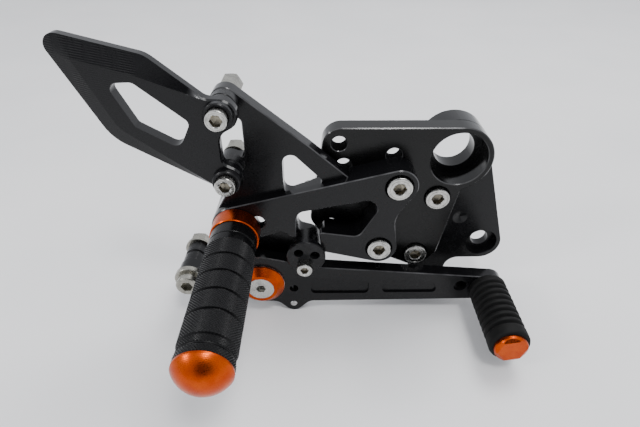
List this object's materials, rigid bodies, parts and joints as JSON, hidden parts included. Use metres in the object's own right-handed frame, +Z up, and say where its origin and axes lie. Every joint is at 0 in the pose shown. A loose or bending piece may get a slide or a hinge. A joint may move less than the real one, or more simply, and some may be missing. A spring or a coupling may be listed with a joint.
{
  "type": "motorcycle rear set foot peg",
  "caption": "Adjustable motorcycle rear set: bolted frame plates, heel guard, foot peg on a hanger, and a toe lever that pivots below it.",
  "frame": {"origin": "on the axis of the big bore, at the rear face of the base plate where it meets the lug plate", "axes": "+X forward, towards the toe peg; +Y into the motorcycle, along the big bore; +Z up"},
  "size_m": [0.2201, 0.1363, 0.1664],
  "materials": {
    "black_plate": "satin black anodised, milled",
    "black_turned": "satin black anodised, turned",
    "black_knurl": "black anodised, finely knurled",
    "orange": "orange anodised, turned",
    "zinc": "bright plated screws and nuts",
    "steel": "plain turned steel",
    "bronze": "plain bearing bronze",
    "rubber": "matte ribbed rubber"
  },
  "bodies": {
    "frame_set": {"base_plate": "black_plate", "lug_plate": "black_plate", "hanger": "black_plate", "guard_carrier": "black_plate", "heel_guard": "black_plate", "pivot_plate": "black_plate", "guard_spacers": "black_turned", "pivot_spacer": "black_turned", "stop_cam": "black_turned", "peg_collar": "orange", "peg_ring": "black_knurl", "peg_dome": "orange", "pivot_cap": "orange", "peg_barrel": "black_knurl", "base_screws": "zinc", "hanger_screws": "zinc", "guard_screws": "zinc", "guard_cups": "black_turned", "guard_washers": "zinc", "guard_nuts": "zinc", "carrier_screws": "zinc", "plate_screw": "zinc", "peg_bolt": "zinc", "stop_screw": "zinc", "pivot_screw": "zinc", "pivot_washer": "steel", "pivot_spindle": "steel"},
    "toe_lever": {"lever": "black_plate", "lever_bush": "bronze", "lever_pin": "steel", "set_screw": "zinc", "rod_bolt": "zinc", "rod_spacer": "black_turned", "rod_washer": "zinc", "rod_nut": "zinc", "toe_core": "black_turned", "toe_rubber": "rubber", "toe_cap": "orange", "toe_screw": "zinc"}
  },
  "joints": [
    {"name": "lever_pivot", "type": "hinge", "parent": "frame_set", "child": "toe_lever", "pos_m": [-0.1065, -0.02, -0.074], "axis": [0, 1, 0], "range_deg": [0, 12]}
  ]
}
